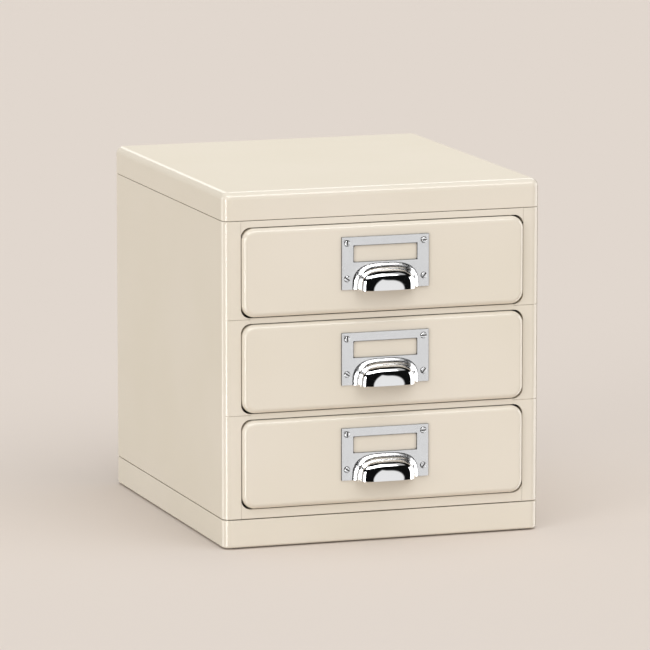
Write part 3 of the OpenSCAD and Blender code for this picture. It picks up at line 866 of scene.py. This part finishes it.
# %% Fold the drawer boxes
flange_w, tray_bend_r, flange_bend_r = 9.0 * MM, 2.0 * MM, 0.8 * MM
for level in LEVELS:
    low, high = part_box(level + "_drawer_box")
    tray_x = high.x - flange_w
    rim_z = high.z - sheet
    tray = add_block("cream_" + level + "_box", (-tray_x, low.y, low.z), (tray_x, high.y, rim_z))
    with editing(tray):
        pick(tray, "faces", lambda face: at(face, 2, rim_z))
        bpy.ops.mesh.delete(type="FACE")
        pick(tray, "edges", lambda edge: at(edge, 2, low.z) or runs(edge, 2))
        bpy.ops.mesh.bevel(offset=tray_bend_r, segments=6, affect="EDGES")
        for side in SIDES.values():
            pick(tray, "edges", lambda edge: at(edge, 2, rim_z) and at(edge, 0, side * tray_x))
            bpy.ops.mesh.extrude_region_move(TRANSFORM_OT_translate={"value": (side * flange_w, 0, 0)})
            pick(tray, "edges", lambda edge: at(edge, 2, rim_z) and at(edge, 0, side * tray_x))
            bpy.ops.mesh.bevel(offset=flange_bend_r, segments=4, affect="EDGES")
    thicken(tray, sheet)
    ease(tray, 0.2 * MM)
    hand_over(tray, level + "_drawer", enamel, "cream_paint", level + "_drawer_box")

# %% [markdown]
# ## Label pulls
#
# A chrome plate with a window for an index card, and below it a finger hood drawn out of the same sheet.
# The hood is a squarish dome: level curves of one shape that shrink towards its front. So an arch is drawn
# on the plate and extruded ring by ring, first up the hollow flare and then over the dome, each ring a
# little smaller and further forward. The plate is bridged between the arch and a plain frame, and the
# underside stays open for the fingers.

# %% Plan the hood's rings
hood_half, hood_h = 26.5 * MM, 18.6 * MM
flare = 5.2 * MM
hood_reach = plate_y - plate_low.y
FLARE_POWER, WIDE_POWER, TALL_POWER = 1.5, 3.5, 3.0
FLARE_STEPS = 12
DOME_TILTS = range(80, 3, -4)
CROWN_SIZES = (0.24, 0.15, 0.07)


def shrunk(share, power):
    """How much of a ring's size is left at this share of the hood's reach, on a squarish dome."""
    return (1.0 - share ** power) ** (1.0 / power)


def dome_ring(share):
    """Half a ring's width, its height, and how far it stands out from the plate."""
    return hood_half * shrunk(share, WIDE_POWER), hood_h * shrunk(share, TALL_POWER), hood_reach * share


def flare_ring(angle):
    out = flare * (1.0 - math.sin(angle) ** (2.0 / FLARE_POWER))
    forward = flare * (1.0 - math.cos(angle) ** (2.0 / FLARE_POWER))
    half, height, _ = dome_ring(flare / hood_reach)
    return half + out, height + out, forward


hood_rings = [flare_ring(math.pi / 2 * step / FLARE_STEPS) for step in range(FLARE_STEPS + 1)]
mean_power = (WIDE_POWER + TALL_POWER) / 2.0
for tilt in DOME_TILTS:
    steepness = math.tan(math.radians(tilt)) ** (1.0 / (mean_power - 1.0))
    hood_rings.append(dome_ring((1.0 + steepness ** mean_power) ** (-1.0 / mean_power)))
hood_rings += [dome_ring(shrunk(left, WIDE_POWER)) for left in CROWN_SIZES]
print("the hood has", len(hood_rings), "rings")

# %% [markdown]
# ## Drawing the sheet
#
# Both outlines start as planes that keep only their edges. Bevelling the arch's two upper corners until
# they meet, with a profile fuller than a circle's, gives the squarish curve that its rings then keep.

# %% Draw the pull
ARCH_PROFILE = 0.63
ARCH_MEET = 0.99


def upright_plane(name, low, high):
    bpy.ops.object.select_all(action="DESELECT")
    bpy.ops.mesh.primitive_plane_add(size=1.0, location=(low + high) / 2, rotation=(math.pi / 2, 0, 0))
    plane = bpy.context.active_object
    plane.name = name
    plane.scale = (high.x - low.x, high.z - low.z, 1)
    bpy.ops.object.transform_apply(location=True, rotation=True, scale=True)
    return plane


def keep_arch(plane, low_z):
    """Leave only the edges of a plane's left, upper and right side."""
    bpy.ops.mesh.select_all(action="SELECT")
    bpy.ops.mesh.delete(type="ONLY_FACE")
    pick(plane, "edges", lambda edge: at(edge, 2, low_z))
    bpy.ops.mesh.delete(type="EDGE")


def label_pull(name, low, high):
    half, height, _ = hood_rings[0]
    corner = Vector((height, plate_y, low.z + height))
    arch = upright_plane("hood_arch", Vector((-height, plate_y, low.z)), corner)
    with editing(arch):
        pick(arch, "verts", lambda vertex: vertex.co.z > low.z + height / 2)
        bpy.ops.mesh.bevel(offset=ARCH_MEET * height, segments=28, profile=ARCH_PROFILE, affect="VERTICES")
        keep_arch(arch, low.z)
        bpy.ops.mesh.select_all(action="SELECT")
        bpy.ops.transform.resize(value=(half / height, 1, 1), center_override=(0, 0, low.z))
    pull = upright_plane(name, Vector((low.x, plate_y, low.z)), Vector((high.x, plate_y, high.z)))
    with editing(pull):
        keep_arch(pull, low.z)
    pull = join([pull, arch])
    with editing(pull):
        bpy.ops.mesh.select_all(action="SELECT")
        bpy.ops.mesh.bridge_edge_loops()
        bpy.ops.mesh.select_all(action="SELECT")
        bpy.ops.mesh.dissolve_limited(angle_limit=math.radians(0.01))
        pick(pull, "edges", lambda edge: len(edge.link_faces) == 1
             and not at(edge, 2, low.z) and not at(edge, 2, high.z)
             and not at(edge, 0, low.x) and not at(edge, 0, high.x))
        for ring, next_ring in zip(hood_rings, hood_rings[1:]):
            step = (0, ring[2] - next_ring[2], 0)
            bpy.ops.mesh.extrude_region_move(TRANSFORM_OT_translate={"value": step})
            shrink = (next_ring[0] / ring[0], 1, next_ring[1] / ring[1])
            bpy.ops.transform.resize(value=shrink, center_override=(0, 0, low.z))
        bpy.ops.mesh.edge_face_add()
        bpy.ops.mesh.select_all(action="SELECT")
        bpy.ops.mesh.normals_make_consistent(inside=False)
    thicken(pull, plate_t)
    return pull


print("plate front at", round(plate_y / MM, 2), "mm")

# %% [markdown]
# ## Window, card pocket and screw seats
#
# A rounded block punches the window. Behind it a shallow pocket, open above, takes the card. Each screw
# sits in a round seat a little wider than its head, which draws the fine dark ring around it.

# %% Cut the pulls
window_r, pocket_margin, pocket_t = 2.0 * MM, 2.5 * MM, 0.6 * MM


def screw_places(low, high):
    return [(x, z) for x in (low.x + screw_side, high.x - screw_side)
            for z in (low.z + screw_low, high.z - screw_top)]


def window_punch(top):
    low = (-window_w / 2, plate_y - past, top - window_h)
    punch = add_block("window_punch", low, (window_w / 2, plate_y + past, top))
    with editing(punch):
        pick(punch, "edges", lambda edge: runs(edge, 1))
        bpy.ops.mesh.bevel(offset=window_r, segments=6, affect="EDGES")
    return punch


def pocket_punch(top, high):
    half = window_w / 2 + pocket_margin
    return add_block("pocket_punch", (-half, high.y - pocket_t, top - window_h - pocket_margin),
                     (half, high.y + past, high.z + past))


def seat_punch(x, z):
    bpy.ops.object.select_all(action="DESELECT")
    bpy.ops.mesh.primitive_cylinder_add(vertices=40, radius=seat_r, depth=2 * seat_d,
                                        location=(x, plate_y, z), rotation=(math.pi / 2, 0, 0))
    bpy.ops.object.transform_apply(location=True, rotation=True, scale=True)
    return bpy.context.active_object


for level in LEVELS:
    low, high = pulls[level]
    window_top = high.z - window_drop
    pull = label_pull("chrome_" + level + "_pull", low, high)
    combine(pull, window_punch(window_top), "DIFFERENCE")
    combine(pull, pocket_punch(window_top, high), "DIFFERENCE")
    combine(pull, join([seat_punch(x, z) for x, z in screw_places(low, high)]), "DIFFERENCE")
    ease(pull, 0.12 * MM)
    hand_over(pull, level + "_drawer", chrome, "polished_chrome", level + "_label_pull")

# %% [markdown]
# ## Slotted screws
#
# Four small screws hold each pull, and a row of larger ones down each side holds the back panel. A head is
# turned from a cylinder with a rounded rim and a shank behind it, and a slot is cut across it. The copies
# are turned by different angles, as screws end up in a real assembly.

# %% Turn the screws
FIRST_TURN, TURN_STEP = 35.0, 47.0


def slotted_screw(name, head_r, head_h, rim_r, shank_r, shank_len, slot_w, slot_d):
    """A screw along Y whose head stands in front of the origin."""
    bpy.ops.object.select_all(action="DESELECT")
    bpy.ops.mesh.primitive_cylinder_add(vertices=40, radius=head_r, depth=head_h,
                                        location=(0, -head_h / 2, 0), rotation=(math.pi / 2, 0, 0))
    screw = bpy.context.active_object
    screw.name = name
    bpy.ops.object.transform_apply(location=True, rotation=True, scale=True)
    with editing(screw):
        pick(screw, "edges", lambda edge: at(edge, 1, -head_h))
        bpy.ops.mesh.bevel(offset=rim_r, segments=6, affect="EDGES")
        pick(screw, "faces", lambda face: at(face, 1, 0.0))
        bpy.ops.mesh.inset(thickness=head_r - shank_r)
        bpy.ops.mesh.extrude_region_move(TRANSFORM_OT_translate={"value": (0, shank_len, 0)})
    slot = add_block("slot_cutter", (-past, -2 * head_h, -slot_w / 2), (past, slot_d - head_h, slot_w / 2))
    combine(screw, slot, "DIFFERENCE")
    ease(screw, 0.08 * MM)
    return screw


def set_screws(pattern, name, places, facing=0.0):
    """Copy the pattern to its places, each a little further turned, as one piece."""
    screws = []
    for count, place in enumerate(places):
        screw = copy_of(pattern, name)
        screw.rotation_euler = (0, math.radians(FIRST_TURN + TURN_STEP * count), facing)
        screw.location = place
        bpy.ops.object.transform_apply(location=True, rotation=True, scale=True)
        screws.append(screw)
    return join(screws)


head_proud = 1.4 * MM
pattern = slotted_screw("pull_screw", head_r=2.5 * MM, head_h=head_proud + seat_d, rim_r=0.5 * MM,
                        shank_r=1.5 * MM, shank_len=5.6 * MM, slot_w=1.0 * MM, slot_d=0.9 * MM)
for level in LEVELS:
    places = [(x, plate_y + seat_d, z) for x, z in screw_places(*pulls[level])]
    screws = set_screws(pattern, "chrome_" + level + "_screws", places)
    hand_over(screws, level + "_drawer", chrome, "polished_chrome", level + "_label_pull_screws")
bpy.data.objects.remove(pattern, do_unlink=True)

# %% [markdown]
# ## Screws in the back
#
# The back panel's screws are the same kind with larger heads, in two columns of four that face the rear.

# %% Fasten the back
back_low, back_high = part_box("back_screws")
back_head_r, back_rows = 3.5 * MM, 4
first_z, last_z = back_low.z + back_head_r, back_high.z - back_head_r
row_zs = [first_z + (last_z - first_z) * row / (back_rows - 1) for row in range(back_rows)]
places = [(side * (back_high.x - back_head_r), back_y, z) for side in SIDES.values() for z in row_zs]
pattern = slotted_screw("back_screw", head_r=back_head_r, head_h=back_high.y - back_y, rim_r=0.9 * MM,
                        shank_r=1.75 * MM, shank_len=5.0 * MM, slot_w=1.1 * MM, slot_d=0.9 * MM)
screws = set_screws(pattern, "zinc_back_screws", places, math.pi)
hand_over(screws, "case", zinc, "zinc_steel", "back_screws")
bpy.data.objects.remove(pattern, do_unlink=True)

# %% [markdown]
# ## Pieces that stay as they are
#
# The back panel, the drawers' backings, posts, runners, glides, rivets, nuts and hidden screws already have
# their true shapes in the frame, so they keep their meshes and only get the finishes mixed above.

# %% Dress the frame's own pieces
SLOT_FINISH = {"cream_paint": enamel, "polished_chrome": chrome, "zinc_steel": zinc,
               "white_nylon": nylon, "black_rubber": rubber}
node_slots = {part["node"]: part["material_slot"] for part in frame["record"]["subparts"]}
for node, piece in frame["nodes"].items():
    piece.data.materials.clear()
    piece.data.materials.append(SLOT_FINISH[node_slots[node]])
print("dressed", len(frame["nodes"]), "nodes")
